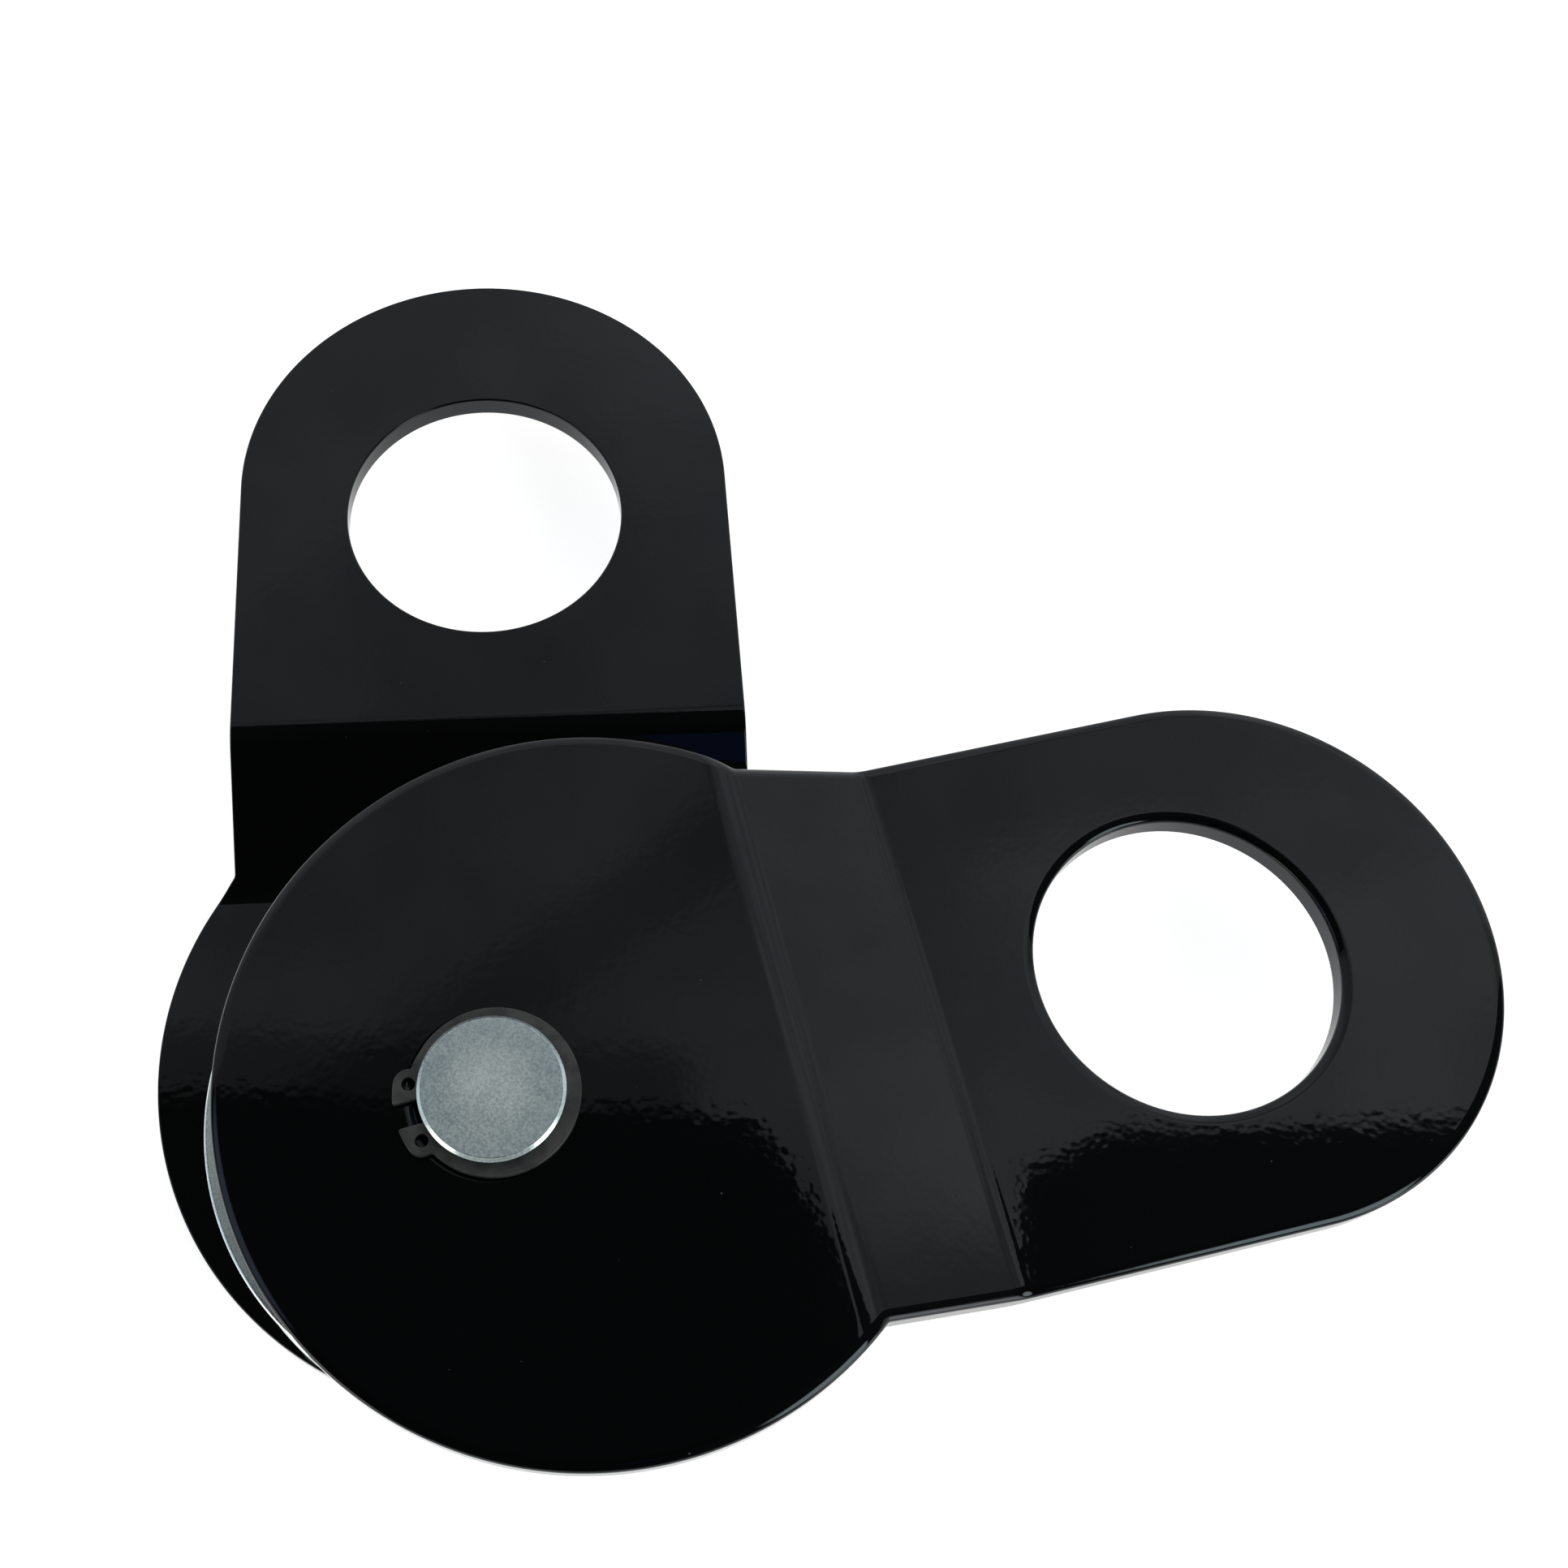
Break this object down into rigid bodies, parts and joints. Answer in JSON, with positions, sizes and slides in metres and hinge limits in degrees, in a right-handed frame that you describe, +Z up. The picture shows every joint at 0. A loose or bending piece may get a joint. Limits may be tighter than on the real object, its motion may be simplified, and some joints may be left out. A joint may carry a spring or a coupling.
{
  "type": "snatch block",
  "caption": "Single-sheave snatch block with two joggled side plates that swing open on a pin held by circlips.",
  "frame": {"origin": "centre of the axle pin's lower end face, which the block stands on", "axes": "+Z up along the axle pin, +Y along the lower plate's arm towards its eye; the upper plate's arm is swung open towards +X"},
  "size_m": [0.2488, 0.2481, 0.0492],
  "materials": {
    "black_paint": "gloss black paint over 5.5 mm steel plate",
    "zinc_plate": "turned and bright zinc plated",
    "spring_steel": "dark phosphated spring steel",
    "bronze": "sintered oil-filled bronze",
    "washer_steel": "ground steel"
  },
  "bodies": {
    "lower_plate": {"lower_side_plate": "black_paint"},
    "upper_plate": {"upper_side_plate": "black_paint"},
    "pin": {"axle_pin": "zinc_plate", "lower_circlip": "spring_steel", "upper_circlip": "spring_steel"},
    "sheave": {"sheave": "zinc_plate", "sheave_bushing": "bronze"},
    "lower_washer": {"lower_thrust_washer": "washer_steel"},
    "upper_washer": {"upper_thrust_washer": "washer_steel"}
  },
  "joints": [
    {"name": "upper_plate_swing", "type": "hinge", "parent": "lower_plate", "child": "upper_plate", "pos_m": [0, 0, 0.0423], "axis": [0, 0, 1], "continuous": true},
    {"name": "pin_spin", "type": "hinge", "parent": "lower_plate", "child": "pin", "pos_m": [0, 0, 0.0246], "axis": [0, 0, 1], "continuous": true},
    {"name": "sheave_spin", "type": "hinge", "parent": "pin", "child": "sheave", "pos_m": [0, 0, 0.0246], "axis": [0, 0, 1], "continuous": true},
    {"name": "lower_washer_spin", "type": "hinge", "parent": "pin", "child": "lower_washer", "pos_m": [0, 0, 0.0106], "axis": [0, 0, 1], "continuous": true},
    {"name": "upper_washer_spin", "type": "hinge", "parent": "pin", "child": "upper_washer", "pos_m": [0, 0, 0.0386], "axis": [0, 0, 1], "continuous": true}
  ]
}
